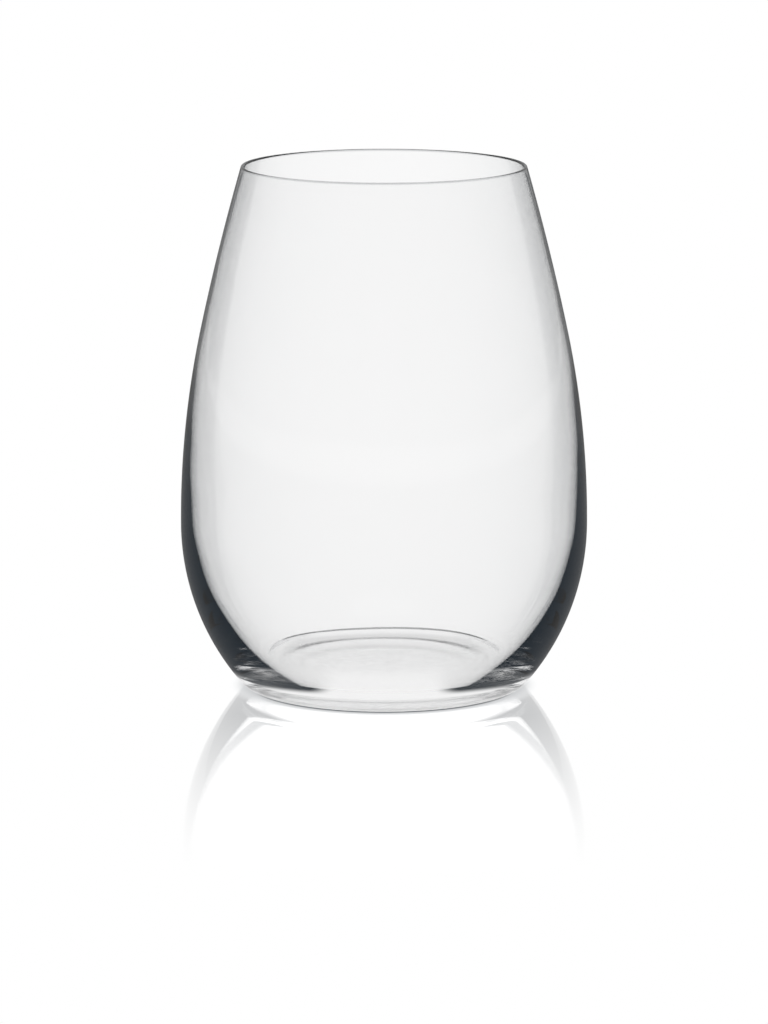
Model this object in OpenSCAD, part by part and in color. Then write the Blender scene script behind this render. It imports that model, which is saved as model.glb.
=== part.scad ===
// Stemless wine glass: one piece of clear glass, blown in a turning mould, with its rim cut
// and melted round. It is turned about the Z axis and stands on z = 0.
// The outside is a chain of tangent arcs: a flat bearing ring, a round heel, a lower side that
// is widest at the belly, a shoulder and a flatter top. The inside is a chain of its own, so the
// wall swells steadily from a thin rim to a heavy heel that keeps the glass upright.

/* [Outside] */
// Height from the table to the top of the rim
height = 119; // [100:0.5:140]
// Outside diameter of the rounded rim
rim_d = 64.4; // [54:0.2:76]
// Outside diameter at the widest part of the belly
belly_d = 92.2; // [84:0.2:104]
// Height of the widest part of the belly above the table
belly_z = 37.7; // [30:0.1:46]
// Outer diameter of the flat bearing ring that the glass stands on
ring_d = 58.2; // [54:0.2:66]
// Radius of the round heel between the bearing ring and the side
heel_r = 5.2; // [3:0.1:8]
// Share of the rim's lean that the side has reached where the shoulder turns into the top
shoulder_share = 0.75; // [0.5:0.01:0.9]
// How many times larger the radius of the top is than that of the shoulder
top_flatness = 2.6; // [1:0.1:5]

/* [Wall] */
// Wall of the top and of the rim, which is melted to a full round
rim_wall = 0.8; // [0.6:0.05:1.6]
// Wall at the height of the belly, measured level
belly_wall = 2.15; // [1.5:0.05:3.5]

/* [Base] */
// Glass in the middle of the base, between the floor of the bowl and the hollow under it
base_t = 2.4; // [1.8:0.1:6]
// Diameter of the dished floor of the bowl
floor_d = 50; // [40:0.5:56]
// Radius of the dish of the floor
dish_r = 300; // [120:10:600]
// Radius of the round corner between the floor and the inner side
corner_r = 9; // [6:0.5:14]
// Width of the bearing ring
ring_w = 5.6; // [2:0.1:9]
// Depth of the hollow inside the bearing ring
punt_h = 0.6; // [0.4:0.1:2]

/* [Hidden] */
glass_tint = [0.86, 0.9, 0.91, 0.45];
$fn = 180;

// How far a straight step of the section may stray from its arc, and the fewest steps of an arc
arc_error = 0.02;
arc_least = 3;
// Halvings in the search for the rim's lean, and the widest lean in degrees that it looks at
lean_steps = 50;
lean_max = 80;

// Every point below is [radius, height], and every angle is that of a normal to the curve
function dir(a) = [cos(a), sin(a)];
function angle(v) = atan2(v.y, v.x);

// Points of the arc of radius r about c from angle a to angle b
function arc(c, r, a, b) =
    let (n = max(arc_least, ceil(abs(b - a) / (2 * acos(1 - arc_error / r)))))
    [for (i = [0 : n]) c + r * dir(a + (b - a) * i / n)];

// Radius of the arc that leaves point p at angle a and runs tangent into a round of radius r
// about c that lies inside it, or through the point c where r is 0
function reach_r(p, a, c, r = 0) = (r * r - (c - p) * (c - p)) / (2 * ((c - p) * dir(a) + r));

// Rise and inward run of a shoulder of radius 1 that leans up to s * t, then a top that leans to t
function rise(t, s, k) = sin(s * t) + k * (sin(t) - sin(s * t));
function run(t, s, k) = 1 - cos(s * t) + k * (cos(s * t) - cos(t));

// Lean at the rim for which the run is the given share of the rise, found by halving
function lean(share, s, k, lo = 0, hi = lean_max, n = lean_steps) =
    let (t = (lo + hi) / 2)
    n == 0 ? t
    : run(t, s, k) > share * rise(t, s, k) ? lean(share, s, k, lo, t, n - 1)
    : lean(share, s, k, t, hi, n - 1);

// Points of a chain in the other direction
function back(points) = [for (i = [len(points) - 1 : -1 : 0]) points[i]];

// Upper side. Its middle line runs from the belly to the middle of the rim's round, and the
// outside lies half the rim's wall further out
half_wall = rim_wall / 2;
belly = [belly_d / 2, belly_z];
rim_c = [rim_d / 2 - half_wall, height - half_wall];
way = rim_c - belly + [half_wall, 0];
rim_a = lean(-way.x / way.y, shoulder_share, top_flatness);
meet_a = shoulder_share * rim_a;
middle_r = way.y / rise(rim_a, shoulder_share, top_flatness);
shoulder_c = belly - [half_wall + middle_r, 0];
top_r = top_flatness * middle_r;
top_c = shoulder_c - (top_r - middle_r) * dir(meet_a);

// Heel and lower side of the outside. The heel starts level with the bearing ring
heel_c = [ring_d / 2, heel_r];
low_r = reach_r(belly, 0, heel_c, heel_r);
low_c = belly - [low_r, 0];
heel_a = angle(heel_c - low_c);

// Inner shoulder, from the inside of the top down to the height of the belly
inner_meet = top_c + (top_r - half_wall) * dir(meet_a);
inner_belly = belly - [belly_wall, 0];
bowl_r = reach_r(inner_meet, meet_a, inner_belly);
bowl_c = inner_meet - bowl_r * dir(meet_a);
side_a = angle(inner_belly - bowl_c);

// Floor, corner and side of the inside
dish_c = [0, punt_h + base_t + dish_r];
dish_a = -acos(floor_d / 2 / dish_r);
corner_c = dish_c + (dish_r - corner_r) * dir(dish_a);
side_r = reach_r(inner_belly, side_a, corner_c, corner_r);
side_c = inner_belly - side_r * dir(side_a);
corner_a = angle(corner_c - side_c);

// Hollow under the base, a shallow dome
punt_d = ring_d - 2 * ring_w;
punt_r = (punt_d * punt_d / 4 + punt_h * punt_h) / (2 * punt_h);
punt_a = acos(punt_d / 2 / punt_r);

outside = concat(
    arc([0, punt_h - punt_r], punt_r, 90, punt_a),
    arc(heel_c, heel_r, -90, heel_a),
    arc(low_c, low_r, heel_a, 0),
    arc(shoulder_c, middle_r + half_wall, 0, meet_a),
    arc(top_c, top_r + half_wall, meet_a, rim_a)
);
rim = concat(
    arc(rim_c, half_wall, rim_a, 90),
    arc(rim_c, half_wall, 90, 180 + rim_a)
);
inside = concat(
    arc(dish_c, dish_r, -90, dish_a),
    arc(corner_c, corner_r, dish_a, corner_a),
    arc(side_c, side_r, corner_a, side_a),
    arc(bowl_c, bowl_r, side_a, meet_a),
    arc(top_c, top_r - half_wall, meet_a, rim_a)
);

module glass() {
    color(glass_tint) rotate_extrude() polygon(concat(outside, rim, back(inside)));
}

glass();
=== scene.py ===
import bpy
import numpy as np
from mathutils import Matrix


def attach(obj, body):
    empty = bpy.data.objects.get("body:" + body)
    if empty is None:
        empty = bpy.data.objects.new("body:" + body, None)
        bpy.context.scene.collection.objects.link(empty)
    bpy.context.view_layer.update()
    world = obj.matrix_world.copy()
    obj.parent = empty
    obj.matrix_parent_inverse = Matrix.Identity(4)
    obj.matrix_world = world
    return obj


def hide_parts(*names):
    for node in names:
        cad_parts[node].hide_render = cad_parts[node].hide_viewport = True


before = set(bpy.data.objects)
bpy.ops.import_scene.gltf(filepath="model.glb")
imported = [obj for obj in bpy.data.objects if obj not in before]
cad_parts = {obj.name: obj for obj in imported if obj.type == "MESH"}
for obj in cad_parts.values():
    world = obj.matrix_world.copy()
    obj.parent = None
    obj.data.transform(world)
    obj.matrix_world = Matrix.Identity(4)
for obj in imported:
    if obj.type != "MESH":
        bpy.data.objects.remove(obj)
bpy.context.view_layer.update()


# Glass
# The whole object is one body of clear soda-lime glass, blown in a turning mould. Its rim is
# cut and melted to a full round, its wall thickens steadily down to the heel, and it stands on
# a flat ring round a shallow hollow.

# Sizes in millimetres, as in the part's source
height, rim_d, belly_d, belly_z = 119.0, 64.4, 92.2, 37.7
ring_d, heel_r, shoulder_share, top_flatness = 58.2, 5.2, 0.75, 2.6
rim_wall, belly_wall = 0.8, 2.15
base_t, floor_d, dish_r, corner_r = 2.4, 50.0, 300.0, 9.0
ring_w, punt_h = 5.6, 0.6
# Widest lean of the rim that is looked at, and the halvings in the search for it
lean_max, lean_steps = np.radians(80), 60
# Longest step of an arc, by its turn and by its length, and the fewest steps of an arc
step_turn, step_length, step_least = np.radians(2.2), 1.5, 8
# Distance at which two points are one, steps of a full turn, and millimetres in a metre
same_point, glass_around, mm_per_m = 1e-6, 256, 1000
# Depth of the inner side's waves, and how far below the rim and out from the axis they are full
ripple, ripple_rim, ripple_axis = 0.006, 25.0, 20.0
# Each wave: how often it goes round the glass, its rise in millimetres per radian and its start
ripple_waves = (3, 1.9, 0.0), (5, -2.7, 1.1), (2, 4.1, 0.4)


def unit(a):
    """Unit vector in the section plane at angle a: radius as its cosine, height as its sine."""
    return np.array([np.cos(a), np.sin(a)])


def angle(v):
    """Angle of a vector in the section plane."""
    return np.arctan2(v[1], v[0])


def arc(centre, radius, start, end):
    """Points of an arc: the centre plus the radius along directions turned evenly from start to
    end. Steps are limited by turn and by length, so small rounds and long sides are smooth."""
    turn = abs(end - start)
    steps = int(np.ceil(max(turn / step_turn, turn * radius / step_length, step_least)))
    a = np.linspace(start, end, steps + 1)[:, None]
    return centre + radius * np.hstack([np.cos(a), np.sin(a)])


def reach(p, a, c, r=0.0):
    """Radius of the arc that leaves p with its normal at angle a and runs tangent into the round
    of radius r about c: from |c - p + R unit(a)| = R - r, solved for R."""
    v = c - p
    return (r * r - v @ v) / (2 * (v @ unit(a) + r))


def glass_section():
    """Section of the glass, from the middle of the hollow out, up, over the rim and down to the
    middle of the bowl's floor. Shoulder and top are two arcs whose radii keep a fixed ratio. The
    lean at the rim at which they span belly and rim is the root of run = share of rise, found by
    halving."""
    half = rim_wall / 2
    belly = np.array([belly_d / 2, belly_z])
    rim_c = np.array([rim_d / 2 - half, height - half])
    way = rim_c - belly + [half, 0]
    low, high = 0.0, lean_max
    for _ in range(lean_steps):
        t = (low + high) / 2
        s = shoulder_share * t
        rise = np.sin(s) + top_flatness * (np.sin(t) - np.sin(s))
        run = 1 - np.cos(s) + top_flatness * (np.cos(s) - np.cos(t))
        low, high = (low, t) if run * way[1] > -way[0] * rise else (t, high)
    middle_r = way[1] / rise
    top_r = top_flatness * middle_r
    shoulder_c = belly - [half + middle_r, 0]
    top_c = shoulder_c - (top_r - middle_r) * unit(s)

    heel_c = np.array([ring_d / 2, heel_r])
    low_r = reach(belly, 0.0, heel_c, heel_r)
    low_c = belly - [low_r, 0]
    heel_a = angle(heel_c - low_c)

    inner_meet = top_c + (top_r - half) * unit(s)
    inner_belly = belly - [belly_wall, 0]
    bowl_r = reach(inner_meet, s, inner_belly)
    bowl_c = inner_meet - bowl_r * unit(s)
    side_a = angle(inner_belly - bowl_c)
    dish_c = np.array([0, punt_h + base_t + dish_r])
    dish_a = -np.arccos(floor_d / 2 / dish_r)
    corner_c = dish_c + (dish_r - corner_r) * unit(dish_a)
    side_r = reach(inner_belly, side_a, corner_c, corner_r)
    side_c = inner_belly - side_r * unit(side_a)
    corner_a = angle(corner_c - side_c)

    punt_d = ring_d - 2 * ring_w
    punt_r = (punt_d**2 / 4 + punt_h**2) / (2 * punt_h)
    punt_a = np.arccos(punt_d / 2 / punt_r)
    up = np.pi / 2
    outside = [
        arc([0, punt_h - punt_r], punt_r, up, punt_a),
        arc(heel_c, heel_r, -up, heel_a),
        arc(low_c, low_r, heel_a, 0),
        arc(shoulder_c, middle_r + half, 0, s),
        arc(top_c, top_r + half, s, t),
        arc(rim_c, half, t, up),
        arc(rim_c, half, up, np.pi + t),
    ]
    inside = [
        arc(top_c, top_r - half, t, s),
        arc(bowl_c, bowl_r, s, side_a),
        arc(side_c, side_r, side_a, corner_a),
        arc(corner_c, corner_r, corner_a, dish_a),
        arc(dish_c, dish_r, dish_a, -up),
    ]
    points = np.concatenate(outside + inside)
    apart = np.linalg.norm(np.diff(points, axis=0), axis=1) > same_point
    return points[np.concatenate([[True], apart])]


def turned(name, section, around):
    """Closed surface of revolution: vertex (i, j) is section point i turned by j / around of a
    full turn, and the first and last point, which lie on the axis, are single vertices closed by
    fans. The inner side, which touched no mould, waves along its normal by a sum of slow sines
    that fades at rim and axis."""
    a = np.linspace(0, 2 * np.pi, around, endpoint=False)
    r, z = section[1:-1, :1], section[1:-1, 1:]
    along = np.gradient(section, axis=0)[1:-1]
    along /= np.linalg.norm(along, axis=1, keepdims=True)
    inside = (np.arange(len(r)) > np.argmax(z))[:, None]
    fade = inside * np.clip((height - z) / ripple_rim, 0, 1) * np.clip(r / ripple_axis, 0, 1)
    wave = sum(np.sin(often * a + z / rise + start) for often, rise, start in ripple_waves)
    r = r + ripple * fade * wave * along[:, 1:]
    z = z - ripple * fade * wave * along[:, :1]
    rings = np.stack([r * np.cos(a), r * np.sin(a), z], -1).reshape(-1, 3)
    ends = np.array([[0, 0, section[0, 1]], [0, 0, section[-1, 1]]])

    n = len(section) - 2
    first, j = np.meshgrid(np.arange(n - 1) * around, np.arange(around), indexing="ij")
    k, second = (j + 1) % around, first + around
    sides = np.stack([first + j, first + k, second + k, second + j], -1).reshape(-1, 4)
    j, last = np.arange(around), (n - 1) * around
    k = (j + 1) % around
    hollow = np.stack([np.full(around, n * around), k, j], -1)
    bottom = np.stack([np.full(around, n * around + 1), last + j, last + k], -1)
    points = np.concatenate([rings, ends]) / mm_per_m
    mesh = bpy.data.meshes.new(name)
    mesh.from_pydata(points, [], sides.tolist() + hollow.tolist() + bottom.tolist())
    mesh.shade_smooth()
    mesh.update()
    obj = bpy.data.objects.new(name, mesh)
    bpy.context.collection.objects.link(obj)
    return obj


glass = turned("wine_glass", glass_section(), glass_around)


def math(tree, operation, a, b, clamp=False):
    """A Math node of the tree that joins two values or sockets."""
    node = tree.nodes.new("ShaderNodeMath")
    node.operation = operation
    node.use_clamp = clamp
    for socket, value in zip(node.inputs, (a, b)):
        if isinstance(value, (int, float)):
            socket.default_value = value
        else:
            tree.links.new(value, socket)
    return node.outputs[0]


def rest(tree, share):
    """What is left of 1 beside a share."""
    return math(tree, "SUBTRACT", 1.0, share)


def mix(tree, factor, a, b):
    """A colour between a and b by the factor, each of them a socket or a plain colour."""
    node = tree.nodes.new("ShaderNodeMix")
    node.data_type = "RGBA"
    for socket, value in ((node.inputs[0], factor), (node.inputs[6], a), (node.inputs[7], b)):
        if isinstance(value, bpy.types.NodeSocket):
            tree.links.new(value, socket)
        else:
            socket.default_value = value
    return node.outputs[2]


def ramp(tree, value, low, high):
    """0 below low, 1 above high and a smooth step between them."""
    node = tree.nodes.new("ShaderNodeMapRange")
    node.interpolation_type = "SMOOTHSTEP"
    node.inputs["From Min"].default_value = float(low)
    node.inputs["From Max"].default_value = float(high)
    tree.links.new(value, node.inputs["Value"])
    return node.outputs[0]


def split(tree, vector):
    """The X, Y and Z of a vector."""
    node = tree.nodes.new("ShaderNodeSeparateXYZ")
    tree.links.new(vector, node.inputs[0])
    return node.outputs


def length_of(tree, vector):
    """The length of a vector, so for a place its distance from the middle of the base."""
    node = tree.nodes.new("ShaderNodeVectorMath")
    node.operation = "LENGTH"
    tree.links.new(vector, node.inputs[0])
    return node.outputs["Value"]


def noise(tree, vector, scale):
    """Soft random values between 0 and 1, about 0.5 on average."""
    node = tree.nodes.new("ShaderNodeTexNoise")
    node.inputs["Scale"].default_value = scale
    tree.links.new(vector, node.inputs["Vector"])
    return node.outputs["Fac"]


# Tint of the clear glass and of a side seen at a slant, painted shade on the melted lip that
# stands in for the dark line that its round shows, and the heights at which the last two set in.
# From here on places are in metres, as the shader sees them
clear_tint, deep_tint = (0.996, 0.996, 0.996, 1), (0.905, 0.91, 0.915, 1)
side_low, side_high = 0.004, 0.02
lip_low, lip_high, lip_painted_shade = 0.1184, 0.1188, (0.55, 0.56, 0.57, 1)
# Scuffed underside: up to this height and out to this distance from the middle
worn_low, worn_high, worn_in, worn_out = 0.0006, 0.001, 0.0245, 0.0265
worn_rough, scuff_scale = 0.35, 900
# Cords, the faint streaks in blown glass: their scale, what brings their average to 1 in the
# tint, and the depth of the waves that they make
cord_scale, cord_lift, wave_depth = 60, 0.5, 0.000004

clear_glass = bpy.data.materials.new("clear_glass")
clear_glass.use_nodes = True
tree = clear_glass.node_tree
shader = tree.nodes["Principled BSDF"]
place = tree.nodes.new("ShaderNodeTexCoord").outputs["Object"]
level = split(tree, place)["Z"]
cords = noise(tree, place, cord_scale)
slant = tree.nodes.new("ShaderNodeLayerWeight")
slant.inputs["Blend"].default_value = 0.5
thick = math(tree, "ADD", cords, cord_lift)
thick = math(tree, "MULTIPLY", slant.outputs["Facing"], thick)
thick = math(tree, "MULTIPLY", thick, ramp(tree, level, side_low, side_high))
glass_tint_and_lip_shade = mix(tree, thick, clear_tint, deep_tint)
# Painted shade: a thin dark line on the melted lip
glass_tint_and_lip_shade = mix(tree, ramp(tree, level, lip_low, lip_high), glass_tint_and_lip_shade, lip_painted_shade)
tree.links.new(glass_tint_and_lip_shade, shader.inputs["Base Color"])

worn = rest(tree, ramp(tree, level, worn_low, worn_high))
outer = ramp(tree, length_of(tree, place), worn_in, worn_out)
worn = math(tree, "SUBTRACT", worn, outer, clamp=True)
rough = math(tree, "MULTIPLY", noise(tree, place, scuff_scale), worn_rough)
tree.links.new(math(tree, "MULTIPLY", worn, rough), shader.inputs["Roughness"])

waves = tree.nodes.new("ShaderNodeBump")
waves.inputs["Strength"].default_value = 1.0
waves.inputs["Distance"].default_value = wave_depth
tree.links.new(cords, waves.inputs["Height"])
tree.links.new(waves.outputs["Normal"], shader.inputs["Normal"])
shader.inputs["IOR"].default_value = 1.5
shader.inputs["Transmission Weight"].default_value = 1.0
glass.data.materials.append(clear_glass)

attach(glass, "root")
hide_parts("glass")


# Floor
# A white glossy sheet laid flat, on which the glass stands loose. It glows and is not lit, so the
# glass casts no shadow on it. Seen straight it is white, with a painted shade and a painted dark
# line of contact round the foot, and a mirror image of the glass whose fade outward is painted by
# distance. Seen in or through the glass its glow is painted light and shade, by place and by the
# ray's turns, as light or dark as the lit table and the dark cards round it would be.

# Radius of the sheet, its sides and how far it lies under the bearing ring
floor_r, floor_sides, floor_drop = 3.0, 96, 0.00005
a = np.linspace(0, 2 * np.pi, floor_sides, endpoint=False)
disc = np.stack([floor_r * np.cos(a), floor_r * np.sin(a), 0 * a - floor_drop], -1)
mesh = bpy.data.meshes.new("white_floor")
mesh.from_pydata(disc, [], [list(range(floor_sides))])
floor = bpy.data.objects.new("white_floor", mesh)
bpy.context.collection.objects.link(floor)

white, black = (1, 1, 1, 1), (0, 0, 0, 1)
# Mirror: where its painted fade starts and where it ends, how fast, its roughness, and the light
# of the room that it shows
mirror_near, mirror_end, mirror_fall, mirror_rough = 0.046, 0.18, 1.5, 0.02
back_light = (0.4375, 0.4375, 0.4375, 1)
# Painted shadow: a dark line of contact under the foot and a painted shade round it, both by
# distance
contact_in, contact_out, contact_light = 0.03, 0.0309, (0.1, 0.11, 0.12, 1)
shade_in, shade_out, shade_light = 0.0305, 0.0365, (0.6, 0.61, 0.62, 1)
# Painted light off the outside of the glass: bright close to the heel, and dim further out for a
# dim room
near_in, near_out, near_light = 0.0325, 0.038, (0.95, 0.95, 0.95, 1)
room_light = (0.175, 0.175, 0.175, 1)
# Painted light held in the wall or base: bright under the foot and in a short strip before its
# middle, dark beyond them and a little lighter far off
lit_in, lit_out, strip_in, strip_out = 0.034, 0.038, 0.012, 0.018
foot_in, foot_out, held_light = 0.026, 0.0305, (0.93, 0.93, 0.93, 1)
far_in, far_out, far_light = 0.12, 0.85, (0.3, 0.3, 0.3, 1)
dark_light = (0.005, 0.012, 0.02, 1)
# Painted light through the wall: bright, but painted dark at both flanks in place of dark cards,
# which start and stop at these slopes off the middle line
wall_light, flank_light = (0.8, 0.8, 0.8, 1), (0.1, 0.11, 0.12, 1)
flank_start, flank_stop, flank_in, flank_out = (0.2, 0.45), (0.8, 1.0), 0.025, 0.032
# Faces of glass after which a ray is through a wall, and turns after which it is trapped
through_faces, trapped_turns = 3, 8


def at_least(tree, count, least):
    """1 where a whole count has reached the least, else 0."""
    return math(tree, "GREATER_THAN", count, least - 0.5)


def ray_turns(tree):
    """How a ray came: the count of its reflections, whether it had any, whether it went into the
    glass, and whether it went through a wall without being trapped."""
    path = tree.nodes.new("ShaderNodeLightPath")
    turns, faces = path.outputs["Glossy Depth"], path.outputs["Transmission Depth"]
    through = at_least(tree, faces, through_faces)
    crossed = math(tree, "SUBTRACT", through, at_least(tree, turns, trapped_turns), clamp=True)
    return turns, at_least(tree, turns, 1), at_least(tree, faces, 1), crossed


sheet = bpy.data.materials.new("white_sheet")
sheet.use_nodes = True
tree = sheet.node_tree
tree.nodes.clear()
place = tree.nodes.new("ShaderNodeTexCoord").outputs["Object"]
x, y, _ = split(tree, place)
wide = math(tree, "ABSOLUTE", x, 0.0)
out_by = length_of(tree, place)
turns, mirrored, entered, crossed = ray_turns(tree)
twice = at_least(tree, turns, 2)
straight = rest(tree, math(tree, "MAXIMUM", mirrored, entered))

fade = math(tree, "SUBTRACT", mirror_end, out_by)
fade = math(tree, "DIVIDE", fade, mirror_end - mirror_near, clamp=True)
fade = math(tree, "MULTIPLY", math(tree, "POWER", fade, mirror_fall), straight)
# Painted shadow round the foot, by distance from the axis; it also holds back the mirror there
contact = rest(tree, ramp(tree, out_by, contact_in, contact_out))
shade = rest(tree, ramp(tree, out_by, shade_in, shade_out))
strength = math(tree, "MULTIPLY", fade, rest(tree, shade))
mirror = tree.nodes.new("ShaderNodeBsdfGlossy")
mirror.inputs["Roughness"].default_value = mirror_rough
tree.links.new(mix(tree, strength, black, white), mirror.inputs["Color"])
base = mix(tree, strength, white, [1 - v for v in back_light[:3]] + [1])
# The painted shade and the painted line of contact, for straight rays only
base = mix(tree, math(tree, "MULTIPLY", shade, straight), base, shade_light)
base = mix(tree, math(tree, "MULTIPLY", contact, straight), base, contact_light)

# Painted light that the glass reflects: bright by the heel, dim further out
off_glass = math(tree, "SUBTRACT", mirrored, entered, clamp=True)
dim = math(tree, "MAXIMUM", twice, ramp(tree, out_by, near_in, near_out))
outside = mix(tree, off_glass, base, mix(tree, dim, near_light, room_light))

# Painted light and shade for rays held in the wall or base, by place on the sheet
beyond = math(tree, "MAXIMUM", twice, ramp(tree, out_by, lit_in, lit_out))
beyond = math(tree, "MAXIMUM", ramp(tree, wide, strip_in, strip_out), beyond)
beyond = math(tree, "MULTIPLY", beyond, ramp(tree, out_by, foot_in, foot_out))
far = mix(tree, ramp(tree, out_by, far_in, far_out), dark_light, far_light)
held = mix(tree, beyond, held_light, mix(tree, twice, far, dark_light))
# Painted shade at both flanks, seen through the wall
slope = math(tree, "DIVIDE", wide, y)
flank = math(tree, "SUBTRACT", ramp(tree, slope, *flank_start), ramp(tree, slope, *flank_stop))
flank = math(tree, "MULTIPLY", flank, ramp(tree, wide, flank_in, flank_out))
inside = mix(tree, crossed, held, mix(tree, flank, wall_light, flank_light))

in_glass = math(tree, "MULTIPLY", mirrored, entered)
# The sheet's glow carries all of the painted light and shade above; it is no lamp
glow = tree.nodes.new("ShaderNodeEmission")
tree.links.new(mix(tree, in_glass, outside, inside), glow.inputs["Color"])
both = tree.nodes.new("ShaderNodeAddShader")
tree.links.new(glow.outputs[0], both.inputs[0])
tree.links.new(mirror.outputs[0], both.inputs[1])
out = tree.nodes.new("ShaderNodeOutputMaterial")
tree.links.new(both.outputs[0], out.inputs["Surface"])
floor.data.materials.append(sheet)


# World
# The studio round the glass, as one plain sky: a white backdrop, a lit ceiling, a dim room and
# dark cards at its sides. Seen straight it is white, and only rays that came off the floor or
# the glass see the rest.

# Middle of the backdrop above the horizon, and its soft edge as a cosine
backdrop_up, backdrop_edge, backdrop_full = np.radians(48), 0.55, 0.6
# Turns from which a ray in the glass sees the backdrop, and how much it shrinks with each turn
backdrop_turns, backdrop_shrink = 3, 0.031
ceiling_low, ceiling_high = np.radians(45), np.radians(53)

world = bpy.data.worlds.new("studio")
bpy.context.scene.world = world
world.use_nodes = True
tree = world.node_tree
toward = tree.nodes.new("ShaderNodeTexCoord").outputs["Generated"]
turns, mirrored, entered, crossed = ray_turns(tree)
facing = tree.nodes.new("ShaderNodeVectorMath")
facing.operation = "DOT_PRODUCT"
facing.inputs[1].default_value = (0, np.cos(backdrop_up), np.sin(backdrop_up))
tree.links.new(toward, facing.inputs[0])
shrunk = math(tree, "MULTIPLY", turns, backdrop_shrink)
behind = math(tree, "SUBTRACT", facing.outputs["Value"], shrunk)
behind = ramp(tree, behind, backdrop_edge, backdrop_full)
behind = math(tree, "MULTIPLY", behind, at_least(tree, turns, backdrop_turns))
overhead = ramp(tree, split(tree, toward)["Z"], np.sin(ceiling_low), np.sin(ceiling_high))
held = mix(tree, math(tree, "MAXIMUM", behind, overhead), dark_light, white)
outside = mix(tree, mirrored, white, mix(tree, entered, back_light, wall_light))
in_wall = math(tree, "MULTIPLY", mirrored, math(tree, "SUBTRACT", entered, crossed))
light = mix(tree, in_wall, outside, held)
tree.links.new(light, tree.nodes["Background"].inputs["Color"])


# Camera
# A plain camera with a long lens, upright on a stand. It is fitted to the outline of the glass
# and of its mirror image, and looks down by 10.4 degrees from 1.285 m away.
pitch, distance, aim_z = np.radians(10.38), 1.2852, 0.03988
# Long side of the sensor in millimetres, and the focal length and the picture's height in pixels
sensor, focal, picture = 36, 5661, 1024
clip_end, most_turns, most_faces = 20, 64, 32
camera = bpy.data.objects.new("camera", bpy.data.cameras.new("camera"))
bpy.context.collection.objects.link(camera)
camera.data.sensor_width = sensor
camera.data.lens = focal / picture * sensor
camera.location = (0, -distance * np.cos(pitch), aim_z + distance * np.sin(pitch))
camera.rotation_euler = (np.pi / 2 - pitch, 0, 0)
camera.data.clip_end = clip_end
bpy.context.scene.camera = camera
bpy.context.scene.cycles.max_bounces = most_turns
bpy.context.scene.cycles.glossy_bounces = most_turns
bpy.context.scene.cycles.transmission_bounces = most_faces
bpy.context.scene.view_settings.view_transform = "Standard"
